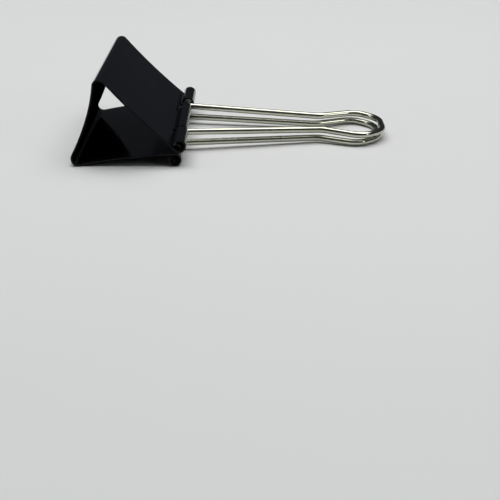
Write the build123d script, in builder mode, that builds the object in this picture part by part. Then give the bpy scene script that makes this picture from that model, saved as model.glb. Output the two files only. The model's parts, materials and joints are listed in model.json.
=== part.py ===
from build123d import *

import os
from math import asin, atan2, cos, degrees, hypot, radians, sin, tan

# Large binder clip: a black spring-steel body and two nickel-plated wire handles.
#
# Frame: +X from the spine to the handle loops, Y across the clip, +Z up. The clip lies on
# its lower jaw on the plane z = 0, with both handles folded forward, one over the other.
# The body is one bent sheet. It is divided at its two bends, so that the jaws can turn
# open about them. Millimetres and degrees.

# Body
body_width = 51.0
sheet = 0.5
spine_height = 23.0
half_angle = 26.2  # between each jaw's plate and the clip's middle plane
bend_radius = 1.9  # outside
spine_turn = 9.0  # the spine bows inward: its slope where it meets the bends
plate_turn = 4.0  # the plates bow inward a little too: their slope at both ends
bend_gap = 0.08  # hairline between the spine and a jaw at the middle of a bend
waist_depth = 3.2  # how far each side of the spine curves in
waist_margin = 0.7  # how far that curve would run on past the bends
flare_sag = 0.2  # how hollow the sides of the plates are

# Rolled jaw edges, which hold the handles' feet
tube_radius = 1.7
tube_length = 11.8
roll_slit = 0.15  # between the end of a roll and its plate
jaw_gap = 0.3
slot_width = 2.8  # where a leg comes out, between a tube and the middle tab
slot_depth = 1.8  # before and behind the tube's axis
tab_radius = 1.4
foot_play = 0.3  # how far the feet lie off the tubes' axes, towards the middle plane

# Wire handles: half the outline, from a foot's end to the front of the loop
wire_radius = 0.84
leg_spread = 12.2
foot_length = 7.0
foot_bend = 1.35
handle_reach = 52.75
half_outline = [
    (0.0, leg_spread + foot_length),
    (0.0, leg_spread),
    (36.3, 6.25),
    (46.9, 10.9),
    (handle_reach, 5.5),
]
half_radii = [foot_bend, 5.0, 4.5, 8.0]
handle_gap = 0.2  # between the two stacked loops

overcut = 1.0  # how far the cuts at the sides run past the sheet

# The closed body's section: u runs along the middle plane from the spine's outer face,
# and w across it, positive towards the upper jaw
bend_u = bend_radius
bend_w = spine_height / 2 - bend_radius
normal_u = sin(radians(half_angle))
normal_w = cos(radians(half_angle))
plate_angle = 90 - half_angle
start_angle = plate_angle - plate_turn
end_angle = plate_angle + plate_turn
plate_start_u = bend_u + bend_radius * cos(radians(start_angle))
plate_start_w = bend_w + bend_radius * sin(radians(start_angle))
tube_w = tube_radius + jaw_gap / 2
tube_rise = tube_radius - sheet
plate_run = (plate_start_w + tube_rise * sin(radians(end_angle)) - tube_w) / normal_u
tube_u = plate_start_u + tube_rise * cos(radians(end_angle)) + plate_run * normal_w
plate_sag = plate_run / 2 * tan(radians(plate_turn / 2))

# Tilt that sets the lower bend and the lower jaw's tubes on z = 0
span = hypot(tube_u - bend_u, bend_w - tube_w)
tilt = degrees(atan2(bend_w - tube_w, tube_u - bend_u))
tilt += degrees(asin((bend_radius - tube_radius) / span))
along = Vector(cos(radians(tilt)), 0, -sin(radians(tilt)))
across = Vector(sin(radians(tilt)), 0, cos(radians(tilt)))

# The frame's origin is under the middle of the resting clip
left_edge = (along * bend_u - across * bend_w).X - bend_radius
lower_tube = along * tube_u - across * tube_w
upper_foot = along * tube_u + across * (tube_w - foot_play)
lower_foot = along * tube_u - across * (tube_w - foot_play)
rest_level = lower_tube.Z - tube_radius
upper_drop = upper_foot.Z - rest_level - 3 * wire_radius - handle_gap
lower_drop = lower_foot.Z - rest_level - wire_radius
upper_droop = degrees(asin(upper_drop / handle_reach))
lower_droop = degrees(asin(lower_drop / handle_reach))
right_edge = upper_foot.X + handle_reach * cos(radians(upper_droop)) + wire_radius
corner = Vector(-(left_edge + right_edge) / 2, 0, -rest_level)
upper_foot += corner
lower_foot += corner

# Angles about a bend's centre, from +u: the bend runs from start_angle to spine_angle
spine_angle = 180 + spine_turn
middle_angle = (start_angle + spine_angle) / 2
gap_angle = degrees(bend_gap / 2 / bend_radius)
inner_radius = bend_radius - sheet
half_bend = middle_angle - gap_angle - start_angle
spine_end_w = bend_w + bend_radius * sin(radians(spine_angle))
spine_sag = spine_end_w * tan(radians(spine_turn / 2))
spine_face_u = bend_u + bend_radius * cos(radians(spine_angle)) + spine_sag

# How far the sides are curved in where a plate starts
waist_reach = spine_height / 2 + waist_margin
waist_radius = (waist_reach**2 + waist_depth**2) / (2 * waist_depth)
waist_sag = waist_radius - (waist_radius**2 - plate_start_w**2) ** 0.5
start_inset = waist_depth - waist_sag


def section_plane(side):
    """Plane of the body's section, w towards the upper (1) or lower (-1) jaw."""
    start = corner + Vector(0, side * body_width / 2, 0)
    return Plane(origin=start, x_dir=along, z_dir=(0, -side, 0))


def cut_waist():
    """Curve both sides of the spine and its bends inward."""
    edge = body_width / 2
    back = Plane(origin=corner - along * overcut, x_dir=(0, 1, 0), z_dir=along)
    with BuildSketch(back) as sides:
        for side in (-1, 1):
            with BuildLine():
                ThreePointArc(
                    (side * edge, -waist_reach),
                    (side * (edge - waist_depth), 0),
                    (side * edge, waist_reach),
                )
                Polyline(
                    (side * edge, waist_reach),
                    (side * (edge + overcut), waist_reach),
                    (side * (edge + overcut), -waist_reach),
                    (side * edge, -waist_reach),
                )
            make_face()
    extrude(sides.sketch, amount=overcut + plate_start_u, mode=Mode.SUBTRACT)


def cut_flare(side):
    """Curve both sides of a plate inward, from nothing at the jaw to the waist's width."""
    edge = body_width / 2
    start = corner + along * plate_start_u + across * (side * plate_start_w)
    run = along * normal_w - across * (side * normal_u)
    outward = along * normal_u + across * (side * normal_w)
    face = Plane(origin=start + outward * overcut, x_dir=run, z_dir=outward)
    with BuildSketch(face) as sides:
        for way in (-1, 1):
            middle_inset = start_inset / 2 + flare_sag
            with BuildLine():
                ThreePointArc(
                    (0, way * (edge - start_inset)),
                    (plate_run / 2, way * (edge - middle_inset)),
                    (plate_run, way * edge),
                )
                Polyline(
                    (plate_run, way * edge),
                    (plate_run, way * (edge + overcut)),
                    (0, way * (edge + overcut)),
                    (0, way * (edge - start_inset)),
                )
            make_face()
    extrude(sides.sketch, amount=-(2 * overcut + sheet), mode=Mode.SUBTRACT)


def jaw_plate():
    """Section of a plate, from the middle of its bend to its tubes' axis."""
    run = Vector(normal_w, -normal_u) * plate_run
    outward = Vector(normal_u, normal_w)
    end_outward = Vector(cos(radians(end_angle)), sin(radians(end_angle)))
    with BuildLine() as plate:
        outer = CenterArc((bend_u, bend_w), bend_radius, start_angle, half_bend)
        inner = CenterArc((bend_u, bend_w), inner_radius, start_angle, half_bend)
        Line(outer @ 1, inner @ 1)
        outer_end = outer @ 0 + run
        inner_end = outer_end - end_outward * sheet
        middle = outer @ 0 + run / 2 - outward * plate_sag
        ThreePointArc(outer @ 0, middle, outer_end)
        ThreePointArc(inner @ 0, middle - outward * sheet, inner_end)
        Line(outer_end, inner_end)
    make_face(plate.edges())


def roll(radius):
    """Section of a plate's edge rolled outward to a tube, tangent to its inner face."""
    shift = tube_radius - radius
    u = tube_u - shift * cos(radians(end_angle))
    w = tube_w - shift * sin(radians(end_angle))
    with Locations(Location((u, w, 0), (0, 0, end_angle - 90))):
        Circle(radius)
        Circle(radius - sheet, mode=Mode.SUBTRACT)
        with Locations((-radius, sheet + roll_slit / 2 - radius)):
            Rectangle(2 * radius, roll_slit, mode=Mode.SUBTRACT)


def build_jaw(side):
    """One jaw: half a bend, the plate, two outer tubes and the middle tab."""
    tab_width = body_width - 2 * tube_length - 2 * slot_width
    with BuildPart() as jaw:
        with BuildSketch(section_plane(side)):
            jaw_plate()
        extrude(amount=body_width)
        cut_waist()
        cut_flare(side)
        for first in (0, body_width - tube_length):
            with BuildSketch(section_plane(side).offset(first)):
                roll(tube_radius)
            extrude(amount=tube_length)
        with BuildSketch(section_plane(side).offset((body_width - tab_width) / 2)):
            roll(tab_radius)
        extrude(amount=tab_width)
        for first in (tube_length, body_width - tube_length - slot_width):
            with BuildSketch(section_plane(side).offset(first)):
                with Locations(Location((tube_u, tube_w, 0), (0, 0, end_angle - 90))):
                    Rectangle(2 * slot_depth, 4 * tube_radius)
            extrude(amount=slot_width, mode=Mode.SUBTRACT)
    return jaw


def build_handle(pivot, droop):
    """One wire handle, its feet's axis through the pivot point."""
    outline = half_outline + [(x, -y) for x, y in reversed(half_outline)]
    radii = half_radii + half_radii[::-1]
    forward = Vector(cos(radians(droop)), 0, -sin(radians(droop)))
    lift = Vector(sin(radians(droop)), 0, cos(radians(droop)))
    with BuildPart() as handle:
        with BuildLine(Plane(origin=pivot, x_dir=forward, z_dir=lift)) as wire:
            FilletPolyline(*outline, radius=radii)
        path = wire.wires()[0]
        with BuildSketch(Plane(origin=path @ 0, z_dir=path % 0)):
            Circle(wire_radius)
        sweep(path=path)
    return handle


def keep(piece, name):
    """Label a finished piece and write it out."""
    piece.part.label = name
    export_step(piece.part, f"parts/{name}.step")


os.makedirs("parts", exist_ok=True)

with BuildPart() as spine:
    with BuildSketch(section_plane(1)):
        with BuildLine():
            ends = []
            for radius in (bend_radius, inner_radius):
                first = spine_angle - half_bend
                top = CenterArc((bend_u, bend_w), radius, first, half_bend)
                foot = CenterArc((bend_u, -bend_w), radius, 180 - spine_turn, half_bend)
                face_u = spine_face_u + bend_radius - radius
                ThreePointArc(top @ 1, (face_u, 0), foot @ 0)
                ends.append((top @ 0, foot @ 1))
            for outer_end, inner_end in zip(*ends):
                Line(outer_end, inner_end)
        make_face()
    extrude(amount=body_width)
    cut_waist()

upper_jaw = build_jaw(1)
lower_jaw = build_jaw(-1)
upper_handle = build_handle(upper_foot, upper_droop)
lower_handle = build_handle(lower_foot, lower_droop)

keep(spine, "spine")
keep(upper_jaw, "upper_jaw")
keep(lower_jaw, "lower_jaw")
keep(upper_handle, "upper_handle")
keep(lower_handle, "lower_handle")
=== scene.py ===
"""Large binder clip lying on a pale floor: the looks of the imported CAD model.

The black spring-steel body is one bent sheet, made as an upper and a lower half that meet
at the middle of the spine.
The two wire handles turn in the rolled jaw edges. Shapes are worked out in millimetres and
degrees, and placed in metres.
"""
import json
from math import asin, cos, degrees, radians, sin, tan

import bmesh
import bpy
from mathutils import Matrix, Vector


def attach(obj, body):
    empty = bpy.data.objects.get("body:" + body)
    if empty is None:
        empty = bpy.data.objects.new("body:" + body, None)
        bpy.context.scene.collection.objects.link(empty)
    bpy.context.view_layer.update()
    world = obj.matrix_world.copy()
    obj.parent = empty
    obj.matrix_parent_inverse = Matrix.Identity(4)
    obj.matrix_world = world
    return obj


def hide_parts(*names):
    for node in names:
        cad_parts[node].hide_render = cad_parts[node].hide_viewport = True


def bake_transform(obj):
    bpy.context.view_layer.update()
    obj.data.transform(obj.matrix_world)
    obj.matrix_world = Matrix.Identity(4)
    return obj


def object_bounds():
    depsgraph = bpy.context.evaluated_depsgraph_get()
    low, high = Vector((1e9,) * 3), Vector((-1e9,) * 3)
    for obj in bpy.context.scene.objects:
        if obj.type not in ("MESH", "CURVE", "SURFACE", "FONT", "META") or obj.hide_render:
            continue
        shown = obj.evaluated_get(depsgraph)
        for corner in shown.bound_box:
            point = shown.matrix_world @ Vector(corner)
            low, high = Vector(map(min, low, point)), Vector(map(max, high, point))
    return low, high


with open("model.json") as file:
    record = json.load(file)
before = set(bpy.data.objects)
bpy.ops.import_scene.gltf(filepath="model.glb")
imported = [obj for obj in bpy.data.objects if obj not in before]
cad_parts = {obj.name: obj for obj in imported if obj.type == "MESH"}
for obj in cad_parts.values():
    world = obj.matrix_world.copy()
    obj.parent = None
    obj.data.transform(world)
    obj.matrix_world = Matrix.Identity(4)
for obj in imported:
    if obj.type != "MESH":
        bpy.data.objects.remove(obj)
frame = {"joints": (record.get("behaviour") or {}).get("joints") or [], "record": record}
cad_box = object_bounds()

MM = 0.001

# The sheet, with the CAD model's sizes
BODY_WIDTH = 51.0
SHEET = 0.5
SPINE_HEIGHT = 23.0
HALF_ANGLE = 26.2
BEND_RADIUS = 1.9
SPINE_TURN = 9.0
PLATE_TURN = 4.0
WAIST_DEPTH = 3.2
WAIST_MARGIN = 0.7
FLARE_SAG = 0.2
TUBE_RADIUS = 1.7
TAB_RADIUS = 1.4
TUBE_LENGTH = 11.8
SLOT_WIDTH = 2.8
SLOT_DEPTH = 1.8
JAW_GAP = 0.3
ROLL_TURN = 303.0  # how far an edge is rolled round
EDGE_ROUNDING = 0.11
EDGE_SEGMENTS = 3
EDGE_MIN_ANGLE = 50  # sharper edges are rounded

# The sheet's mesh: steps along the section, and across it
SPINE_STEPS = 18
BEND_STEPS = 24
PLATE_STEPS = 22
SLOT_STEPS = 4
ROLL_STEPS = 44
TUBE_COLUMNS = 8
TAB_COLUMNS = 16
COLUMN_TRIM = 0.3  # narrow columns beside a cut, for its rounding

# The inner face is matt at the spine, with a slightly paler base colour as a painted sheen.
# That fades out over FADE_ROWS, down to nothing at row MATT_ROWS, counted from the spine's
# middle.
MATT_ROWS = 42
FADE_ROWS = 12

# The wire handles
WIRE_RADIUS = 0.84
FOOT_LENGTH = 7.0
LEG_SPREAD = 12.2
HANDLE_REACH = 52.75
HALF_OUTLINE = [
    (0.0, LEG_SPREAD + FOOT_LENGTH),
    (0.0, LEG_SPREAD),
    (36.3, 6.25),
    (46.9, 10.9),
    (HANDLE_REACH, 5.5),
]
HALF_RADII = [1.35, 5.0, 4.5, 8.0]
WIRE_SIDES = 40
TURN_STEP = 3.0  # about how far a bend turns from ring to ring, in degrees
TURN_MIN_STEPS = 3
RUN_STEP = 1.5  # about the distance from ring to ring
SAME_SPOT = 1e-6  # points closer than this are one
WIRE_CHAMFER = ((0.0, 0.7), (0.1, 0.9), (0.28, 1.0))  # distance from an end, and share of size

# The lower loop lies on the floor, and the upper loop just clears it
LOOP_GAP = 0.2
LOOP_HEIGHT = {"lower_handle": WIRE_RADIUS, "upper_handle": 3 * WIRE_RADIUS + LOOP_GAP}

# Colours, from deep to pale where there are two
LACQUER = ((0.0028, 0.0031, 0.004), (0.0046, 0.005, 0.0062))
LACQUER_WORN = (0.02, 0.02, 0.021)
# A paler colour for the matt inner face: a painted sheen that stands in for its reflections
LACQUER_INSIDE_PAINTED_SHEEN = (0.005, 0.0054, 0.006)
NICKEL = ((0.47, 0.475, 0.39), (0.57, 0.575, 0.495))
NICKEL_TARNISH = (0.34, 0.33, 0.22)
FLOOR = ((0.72, 0.735, 0.737), (0.745, 0.76, 0.762))

SMOOTH_ANGLE = 38  # edges sharper than this aren't shaded smooth

# The floor, lights and camera are in metres
FLOOR_HALF = 8.0
FLOOR_DROP = 0.00002  # below the clip

# Each light's name, position, target, width and height, watts and colour
SOFTBOXES = (
    ("overhead", (0.05, 0.14, 0.75), (0, 0, 0), (1.1, 0.6), 6.6, (1, 0.99, 0.975)),
    ("front_right", (0.75, -0.5, 0.45), (0, 0, 0), (0.12, 0.3), 0.5, (1, 1, 1)),
    ("left", (-0.75, 0.1, 0.4), (0, 0, 0.01), (0.2, 0.4), 0.5, (0.97, 0.98, 1)),
)

# The surroundings are dark, and brighten from this height to straight up
SKY_START = 0.55
SKY_DARK = (0.034, 0.036, 0.042)
SKY_BRIGHT = (0.25, 0.25, 0.25)

# The camera stands in front of the clip's near side, a little above it
CAMERA_SPOT = (0.00559, -0.27735, 0.08601)
CAMERA_YAW = -0.353
CAMERA_DOWN = 23.339
CAMERA_ROLL = -0.584
CAMERA_LENS = 77.10
CAMERA_CLIP = 0.01

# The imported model's own axes and hinge points
joints = {joint["name"]: joint for joint in frame["joints"]}
mounts = {mount["name"]: mount for mount in frame["record"]["mounts"]}
along = -Vector(mounts["spine_back"]["axis"])
across = Vector((-along.z, 0, along.x))


def polar(radius, angle):
    """The offset of a length along an angle from +u, in the section."""
    return Vector((radius * cos(radians(angle)), radius * sin(radians(angle))))


# The section, in millimetres: u along the middle plane from the spine, w across it
bend = Vector((BEND_RADIUS, SPINE_HEIGHT / 2 - BEND_RADIUS))
start_angle = 90 - HALF_ANGLE - PLATE_TURN
end_angle = 90 - HALF_ANGLE + PLATE_TURN
plate_start = bend + polar(BEND_RADIUS, start_angle)
tube_w = TUBE_RADIUS + JAW_GAP / 2
tube_rise = polar(TUBE_RADIUS - SHEET, end_angle)
plate_run = (plate_start.y + tube_rise.y - tube_w) / sin(radians(HALF_ANGLE))
tube = plate_start + polar(plate_run, -HALF_ANGLE) + tube_rise
plate_arc = plate_run / 2 / sin(radians(PLATE_TURN))
plate_centre = bend + polar(BEND_RADIUS + plate_arc, start_angle)
spine_half = bend.y - BEND_RADIUS * sin(radians(SPINE_TURN))
spine_arc = spine_half / sin(radians(SPINE_TURN))
spine_face = bend.x - BEND_RADIUS * cos(radians(SPINE_TURN))
spine_face += spine_half * tan(radians(SPINE_TURN / 2))
spine_centre = Vector((spine_face - spine_arc, 0))
corner = Vector(mounts["spine_back"]["pos_m"]) - along * spine_face * MM

# How far the sides are curved in
waist_reach = SPINE_HEIGHT / 2 + WAIST_MARGIN
waist_arc = (waist_reach**2 + WAIST_DEPTH**2) / (2 * WAIST_DEPTH)


def waist_inset(w):
    """How far a side of the spine is curved in at the height w."""
    return WAIST_DEPTH - waist_arc + (waist_arc**2 - w * w) ** 0.5


def place(point, y, side):
    """A point of the section at y, on the upper (1) or lower (-1) half, in the frame."""
    spot = corner + (along * point.x + across * (point.y * side)) * MM
    return Vector((spot.x, y * MM, spot.z))


def spread(first, last, count):
    """Evenly spaced values from first to last."""
    return [first + (last - first) * k / count for k in range(count + 1)]


# ---------------------------------------------------------------- materials


def new_material(name):
    """A node material, with its node tree and its shader."""
    material = bpy.data.materials.new(name)
    material.use_nodes = True
    return material, material.node_tree, material.node_tree.nodes["Principled BSDF"]


def add_attribute(tree, name):
    """A value painted on the mesh's vertices."""
    node = tree.nodes.new("ShaderNodeAttribute")
    node.attribute_name = name
    return node.outputs["Fac"]


def add_noise(tree, coordinates, scale, detail=2.0, stretch=(1, 1, 1), roughness=0.5):
    """A noise texture in the object's own coordinates, in metres."""
    mapping = tree.nodes.new("ShaderNodeMapping")
    mapping.inputs["Scale"].default_value = stretch
    tree.links.new(coordinates, mapping.inputs["Vector"])
    texture = tree.nodes.new("ShaderNodeTexNoise")
    texture.inputs["Scale"].default_value = scale
    texture.inputs["Detail"].default_value = detail
    texture.inputs["Roughness"].default_value = roughness
    tree.links.new(mapping.outputs["Vector"], texture.inputs["Vector"])
    return texture.outputs["Fac"]


def add_range(tree, value, source, target):
    """Map a value from a source range to a target range, both (low, high)."""
    node = tree.nodes.new("ShaderNodeMapRange")
    for socket, number in zip(("From Min", "From Max", "To Min", "To Max"), source + target):
        node.inputs[socket].default_value = number
    tree.links.new(value, node.inputs["Value"])
    return node.outputs["Result"]


def add_mix(tree, factor, first, second):
    """Mix two colours, each a socket or an RGB triple."""
    node = tree.nodes.new("ShaderNodeMix")
    node.data_type = "RGBA"
    tree.links.new(factor, node.inputs["Factor"])
    for socket, colour in ((node.inputs[6], first), (node.inputs[7], second)):
        if isinstance(colour, tuple):
            socket.default_value = (*colour, 1)
        else:
            tree.links.new(colour, socket)
    return node.outputs[2]


def add_math(tree, operation, first, second):
    """Combine two values, each a socket or a number."""
    node = tree.nodes.new("ShaderNodeMath")
    node.operation = operation
    for socket, value in zip(node.inputs, (first, second)):
        if isinstance(value, (int, float)):
            socket.default_value = value
        else:
            tree.links.new(value, socket)
    return node.outputs["Value"]


def add_bumps(tree, shader, heights):
    """Chain bump nodes, one for each (height, depth in metres), into the shader."""
    normal = None
    for height, depth in heights:
        bump = tree.nodes.new("ShaderNodeBump")
        bump.inputs["Distance"].default_value = depth
        tree.links.new(height, bump.inputs["Height"])
        if normal:
            tree.links.new(normal, bump.inputs["Normal"])
        normal = bump.outputs["Normal"]
    tree.links.new(normal, shader.inputs["Normal"])


def lacquer_material():
    """Baked black lacquer: glossy, a little greyer at its edges, matt inside the spine, with a
    painted sheen there.
    """
    material, tree, shader = new_material("black_lacquer")
    spot = tree.nodes.new("ShaderNodeTexCoord").outputs["Object"]
    edge = add_attribute(tree, "edge")
    inside = add_attribute(tree, "inside")
    cloud = add_noise(tree, spot, scale=90, detail=3)
    speck = add_noise(tree, spot, scale=900)
    patches = add_noise(tree, spot, scale=420, detail=4, roughness=0.7)
    worn = add_range(tree, patches, (0.5, 0.72), (0, 1))
    wear = add_math(tree, "MULTIPLY", worn, edge)
    colour = add_mix(tree, wear, add_mix(tree, cloud, *LACQUER), LACQUER_WORN)
    # Painted sheen: the inner face near the spine gets a paler base colour
    colour = add_mix(tree, inside, colour, LACQUER_INSIDE_PAINTED_SHEEN)
    tree.links.new(colour, shader.inputs["Base Color"])
    rough = add_range(tree, cloud, (0.3, 0.7), (0.07, 0.12))
    rough = add_math(tree, "ADD", rough, add_range(tree, speck, (0.55, 0.8), (0, 0.08)))
    rough = add_math(tree, "ADD", rough, add_math(tree, "MULTIPLY", wear, 0.25))
    rough = add_math(tree, "ADD", rough, add_math(tree, "MULTIPLY", inside, 0.3))
    tree.links.new(rough, shader.inputs["Roughness"])
    shader.inputs["IOR"].default_value = 1.45
    rim = add_math(tree, "MULTIPLY", edge, 0.7)
    dull = add_math(tree, "MAXIMUM", inside, rim)
    sheen = add_range(tree, dull, (0, 1), (0.42, 0))
    tree.links.new(sheen, shader.inputs["Specular IOR Level"])
    sag = add_noise(tree, spot, scale=260)
    peel = add_noise(tree, spot, scale=1100)
    add_bumps(tree, shader, [(sag, 0.000006), (peel, 0.0000035)])
    return material


def nickel_material():
    """Bright nickel plating on drawn wire: faint draw lines along it, and soft tarnish."""
    material, tree, shader = new_material("nickel_wire")
    spot = tree.nodes.new("ShaderNodeTexCoord").outputs["Object"]
    cloud = add_noise(tree, spot, scale=130, detail=4, roughness=0.6)
    lines = add_noise(tree, spot, scale=1400, detail=3, stretch=(0.03, 1, 1))
    pits = add_noise(tree, spot, scale=2600)
    patches = add_noise(tree, spot, scale=60, detail=5, roughness=0.65)
    tarnish = add_range(tree, patches, (0.52, 0.75), (0, 0.55))
    colour = add_mix(tree, tarnish, add_mix(tree, cloud, *NICKEL), NICKEL_TARNISH)
    tree.links.new(colour, shader.inputs["Base Color"])
    shader.inputs["Metallic"].default_value = 1
    rough = add_range(tree, cloud, (0.3, 0.7), (0.07, 0.13))
    rough = add_math(tree, "ADD", rough, add_range(tree, lines, (0.4, 0.8), (0, 0.06)))
    rough = add_math(tree, "ADD", rough, add_math(tree, "MULTIPLY", tarnish, 0.12))
    tree.links.new(rough, shader.inputs["Roughness"])
    add_bumps(tree, shader, [(lines, 0.000003), (pits, 0.0000015)])
    return material


def floor_material():
    """A plain pale floor with a very slight tone."""
    material, tree, shader = new_material("pale_floor")
    spot = tree.nodes.new("ShaderNodeTexCoord").outputs["Object"]
    cloud = add_noise(tree, spot, scale=6, detail=3)
    colour = add_mix(tree, cloud, *FLOOR)
    tree.links.new(colour, shader.inputs["Base Color"])
    shader.inputs["Roughness"].default_value = 0.75
    shader.inputs["Specular IOR Level"].default_value = 0.2
    return material


# ---------------------------------------------------------------- meshes


def finish_mesh(mesh, name, material):
    """Turn a bmesh into a smooth-shaded object."""
    bmesh.ops.recalc_face_normals(mesh, faces=mesh.faces[:])
    data = bpy.data.meshes.new(name)
    mesh.to_mesh(data)
    mesh.free()
    data.shade_smooth()
    data.set_sharp_from_angle(angle=radians(SMOOTH_ANGLE))
    data.materials.append(material)
    piece = bpy.data.objects.new(name, data)
    bpy.context.scene.collection.objects.link(piece)
    return piece


def sheet_rows():
    """Rows of the sheet's middle surface, from the spine's middle to a jaw's edge.

    Each row is (point, outward direction, inset of the sides). Also gives the number of
    the row where the slots begin.
    """
    rows = []
    for angle in spread(0, SPINE_TURN, SPINE_STEPS):
        point = spine_centre + polar(spine_arc + SHEET / 2, angle)
        rows.append((point, -polar(1, angle), waist_inset(point.y)))
    for angle in spread(180 + SPINE_TURN, start_angle, BEND_STEPS)[1:]:
        point = bend + polar(BEND_RADIUS - SHEET / 2, angle)
        rows.append((point, polar(1, angle), waist_inset(point.y)))
    start_inset = rows[-1][2]
    slot_start = 1 - SLOT_DEPTH / plate_run
    shares = spread(0, slot_start, PLATE_STEPS)[1:] + spread(slot_start, 1, SLOT_STEPS)[1:]
    slot_row = len(rows) + PLATE_STEPS - 1
    for share in shares:
        angle = start_angle + (end_angle - start_angle) * share
        point = plate_centre - polar(plate_arc + SHEET / 2, angle)
        inset = start_inset * (1 - share) + 4 * FLARE_SAG * share * (1 - share)
        rows.append((point, polar(1, angle), inset))
    return rows, slot_row


def roll_rows(radius):
    """Rows of an edge rolled outward to a tube, tangent to the plate's inner face."""
    centre = tube - polar(TUBE_RADIUS - radius, end_angle)
    first = end_angle + 180
    rows = []
    for angle in spread(first, first + ROLL_TURN, ROLL_STEPS)[1:]:
        rows.append((centre + polar(radius - SHEET / 2, angle), -polar(1, angle), 0))
    return rows


def columns():
    """The sheet's columns: y on its widest row, and what its rolled edge is there."""
    half = BODY_WIDTH / 2
    tube_end = half - TUBE_LENGTH
    tab_end = tube_end - SLOT_WIDTH
    slot_middle = (tube_end + tab_end) / 2
    tube_span = spread(-half + COLUMN_TRIM, -tube_end - COLUMN_TRIM, TUBE_COLUMNS)
    tab_span = spread(-tab_end + COLUMN_TRIM, tab_end - COLUMN_TRIM, TAB_COLUMNS)
    near = [(y, "tube") for y in (-half, *tube_span, -tube_end)]
    middle = [(y, "tab") for y in (-tab_end, *tab_span, tab_end)]
    far = [(-y, kind) for y, kind in reversed(near)]
    return [*near, (-slot_middle, "slot"), *middle, (slot_middle, "slot"), *far]


def build_half(name, side, material):
    """The upper (1) or lower (-1) half of the spring body, as one closed sheet."""
    rows, slot_row = sheet_rows()
    rolls = {"tube": roll_rows(TUBE_RADIUS), "tab": roll_rows(TAB_RADIUS)}
    across_sheet = columns()
    mesh = bmesh.new()
    edge_mark = mesh.verts.layers.float.new("edge")
    inside_mark = mesh.verts.layers.float.new("inside")
    skins = {1: {}, -1: {}}

    def vertex(skin, row, column):
        """The vertex on the outer (1) or inner (-1) skin, made when first asked for."""
        if (row, column) not in skins[skin]:
            y, kind = across_sheet[column]
            whole = rows if kind == "slot" else rows + rolls[kind]
            point, outward, inset = whole[row]
            spot = point + outward * (skin * SHEET / 2)
            y *= 1 - inset / (BODY_WIDTH / 2)
            skins[skin][row, column] = mesh.verts.new(place(spot, y, side))
        return skins[skin][row, column]

    quads = []
    for row in range(len(rows) + ROLL_STEPS - 1):
        for column in range(len(across_sheet) - 1):
            kinds = {across_sheet[column][1], across_sheet[column + 1][1]}
            if "slot" in kinds and row >= slot_row:
                continue
            quads.append(
                [(row, column), (row, column + 1), (row + 1, column + 1), (row + 1, column)]
            )

    # Both skins, and the sides that join them wherever a quad's edge is used only once
    uses = {}
    for quad in quads:
        for skin, corners in ((1, quad), (-1, quad[::-1])):
            mesh.faces.new([vertex(skin, *spot) for spot in corners])
        for first, second in zip(quad, quad[1:] + quad[:1]):
            uses.setdefault(frozenset((first, second)), []).append((first, second))
    for used in uses.values():
        if len(used) == 1:
            first, second = used[0]
            mesh.faces.new(
                [vertex(1, *second), vertex(1, *first), vertex(-1, *first), vertex(-1, *second)]
            )
    bmesh.ops.recalc_face_normals(mesh, faces=mesh.faces[:])
    # The inside mark makes the inner face matt and gives it the painted sheen colour
    for (row, _), point in skins[-1].items():
        point[inside_mark] = min(1.0, max(0.0, (MATT_ROWS - row) / FADE_ROWS))

    # Round the crisp edges, except at the seam where the two halves meet
    seam = {v for skin in skins.values() for (row, _), v in skin.items() if row == 0}
    crisp_edges = []
    for edge in mesh.edges:
        crisp = edge.calc_face_angle(0) > radians(EDGE_MIN_ANGLE)
        if crisp and not (edge.verts[0] in seam and edge.verts[1] in seam):
            crisp_edges.append(edge)
    made = bmesh.ops.bevel(
        mesh,
        geom=crisp_edges,
        offset=EDGE_ROUNDING * MM,
        offset_type="OFFSET",
        segments=EDGE_SEGMENTS,
        profile=0.5,
        affect="EDGES",
        clamp_overlap=True,
    )
    for face in made["faces"]:
        for point in face.verts:
            point[edge_mark] = 1.0
    return finish_mesh(mesh, name, material)


def rounded_path(points, radii):
    """Closely spaced points along straight runs joined by tangent arcs."""
    points = [Vector(point) for point in points]
    path = [points[0]]
    for before, here, after, radius in zip(points, points[1:], points[2:], radii):
        into = (here - before).normalized()
        out = (after - here).normalized()
        turn = degrees(into.angle_signed(out))
        bend_length = radius * radians(abs(turn))
        setback = radius * tan(radians(abs(turn) / 2))
        arc_start = here - into * setback
        sign = -1 if turn > 0 else 1
        centre = arc_start + Vector((-into.y, into.x)) * radius * sign
        steps = max(TURN_MIN_STEPS, round(abs(turn) / TURN_STEP), round(bend_length / RUN_STEP))
        for share in spread(0, 1, steps):
            spin = Matrix.Rotation(radians(-turn * share), 2)
            path.append(centre + spin @ (arc_start - centre))
    path.append(points[-1])
    filled = [path[0]]
    for spot in path[1:]:
        gap = (spot - filled[-1]).length
        if gap > SAME_SPOT:
            parts = max(1, round(gap / RUN_STEP))
            filled += [filled[-1].lerp(spot, k / parts) for k in range(1, parts + 1)]
    return filled


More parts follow.
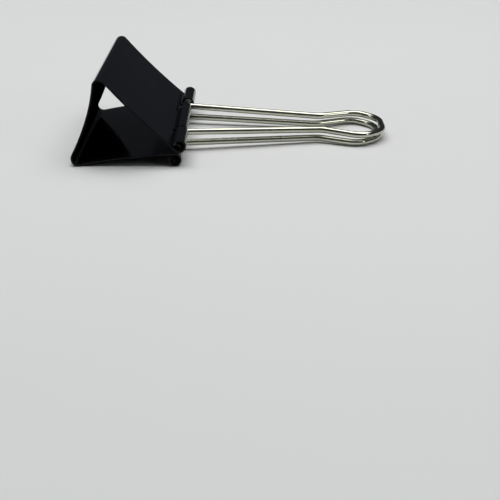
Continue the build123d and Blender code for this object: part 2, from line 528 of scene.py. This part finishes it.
def build_handle(name, joint_name, material):
    """A bent wire handle with softly chamfered ends, lying where its CAD node lies."""
    pivot = Vector(joints[joint_name]["pos_m"])
    droop = asin((pivot.z - LOOP_HEIGHT[name] * MM) / (HANDLE_REACH * MM))
    forward = Vector((cos(droop), 0, -sin(droop)))
    lift = Vector((sin(droop), 0, cos(droop)))
    outline = HALF_OUTLINE + [(x, -y) for x, y in reversed(HALF_OUTLINE)]
    path = rounded_path(outline, HALF_RADII + HALF_RADII[::-1])

    # Close rings near both ends carry the chamfer
    first_step = (path[1] - path[0]).length
    last_step = (path[-2] - path[-1]).length
    head = [path[0].lerp(path[1], d / first_step) for d, _ in WIRE_CHAMFER]
    tail = [path[-1].lerp(path[-2], d / last_step) for d, _ in WIRE_CHAMFER]
    end_sizes = [share for _, share in WIRE_CHAMFER]
    sizes = end_sizes + [1.0] * (len(path) - 2) + end_sizes[::-1]
    path = head + path[1:-1] + tail[::-1]

    mesh = bmesh.new()
    rings = []
    for k, (spot, size) in enumerate(zip(path, sizes)):
        ahead = path[min(k + 1, len(path) - 1)]
        behind = path[max(k - 1, 0)]
        run = (ahead - behind).normalized()
        normal = Vector((-run.y, run.x))
        ring = []
        for angle in spread(0, 360, WIRE_SIDES)[:-1]:
            offset = polar(WIRE_RADIUS * size, angle)
            plan = spot + normal * offset.x
            point = pivot + (forward * plan.x + Vector((0, 1, 0)) * plan.y) * MM
            ring.append(mesh.verts.new(point + lift * (offset.y * MM)))
        rings.append(ring)
    for first, second in zip(rings, rings[1:]):
        for k in range(WIRE_SIDES):
            n = (k + 1) % WIRE_SIDES
            mesh.faces.new([first[k], first[n], second[n], second[k]])
    mesh.faces.new(rings[0][::-1])
    mesh.faces.new(rings[-1])
    piece = finish_mesh(mesh, name + "_wire", material)
    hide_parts(name)
    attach(piece, name)


lacquer = lacquer_material()
nickel = nickel_material()

for half_name, side, body in (("upper_half", 1, "upper_jaw"), ("lower_half", -1, "lower_jaw")):
    half = build_half(half_name, side, lacquer)
    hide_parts(body)
    if side == 1:
        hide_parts("spine")
    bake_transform(half)

build_handle("upper_handle", "upper_handle_fold", nickel)
build_handle("lower_handle", "lower_handle_fold", nickel)

# ---------------------------------------------------------------- floor, light and camera

floor_data = bpy.data.meshes.new("floor")
floor_corners = [(-1, -1), (1, -1), (1, 1), (-1, 1)]
floor_data.from_pydata(
    [(x * FLOOR_HALF, y * FLOOR_HALF, cad_box[0][2] - FLOOR_DROP) for x, y in floor_corners],
    [],
    [(0, 1, 2, 3)],
)
floor_data.materials.append(floor_material())
floor = bpy.data.objects.new("floor", floor_data)
bpy.context.scene.collection.objects.link(floor)


def add_softbox(name, position, target, size, power, colour):
    """A soft rectangular studio light aimed at a target."""
    data = bpy.data.lights.new(name, "AREA")
    data.shape = "RECTANGLE"
    data.size, data.size_y = size
    data.energy = power
    data.color = colour
    light = bpy.data.objects.new(name, data)
    light.location = position
    aim = Vector(target) - Vector(position)
    light.rotation_euler = aim.to_track_quat("-Z", "Y").to_euler()
    bpy.context.scene.collection.objects.link(light)


for softbox in SOFTBOXES:
    add_softbox(*softbox)

world = bpy.data.worlds.new("studio")
world.use_nodes = True
bpy.context.scene.world = world
sky = world.node_tree
direction = sky.nodes.new("ShaderNodeTexCoord").outputs["Generated"]
split = sky.nodes.new("ShaderNodeSeparateXYZ")
sky.links.new(direction, split.inputs["Vector"])
height = add_range(sky, split.outputs["Z"], (SKY_START, 1), (0, 1))
shade = add_mix(sky, height, SKY_DARK, SKY_BRIGHT)
sky.links.new(shade, sky.nodes["Background"].inputs["Color"])

yaw, down, roll = radians(CAMERA_YAW), radians(CAMERA_DOWN), radians(CAMERA_ROLL)
ahead = Vector((sin(yaw) * cos(down), cos(yaw) * cos(down), -sin(down)))
level = ahead.cross(Vector((0, 0, 1))).normalized()
top = level.cross(ahead)
right = level * cos(roll) + top * sin(roll)
up = top * cos(roll) - level * sin(roll)
camera_data = bpy.data.cameras.new("camera")
camera_data.lens = CAMERA_LENS
camera_data.clip_start = CAMERA_CLIP
camera = bpy.data.objects.new("camera", camera_data)
camera.matrix_world = Matrix.Translation(CAMERA_SPOT) @ Matrix(
    (
        (right.x, up.x, -ahead.x),
        (right.y, up.y, -ahead.y),
        (right.z, up.z, -ahead.z),
    )
).to_4x4()
bpy.context.scene.collection.objects.link(camera)
bpy.context.scene.camera = camera
bpy.context.scene.view_settings.view_transform = "Standard"
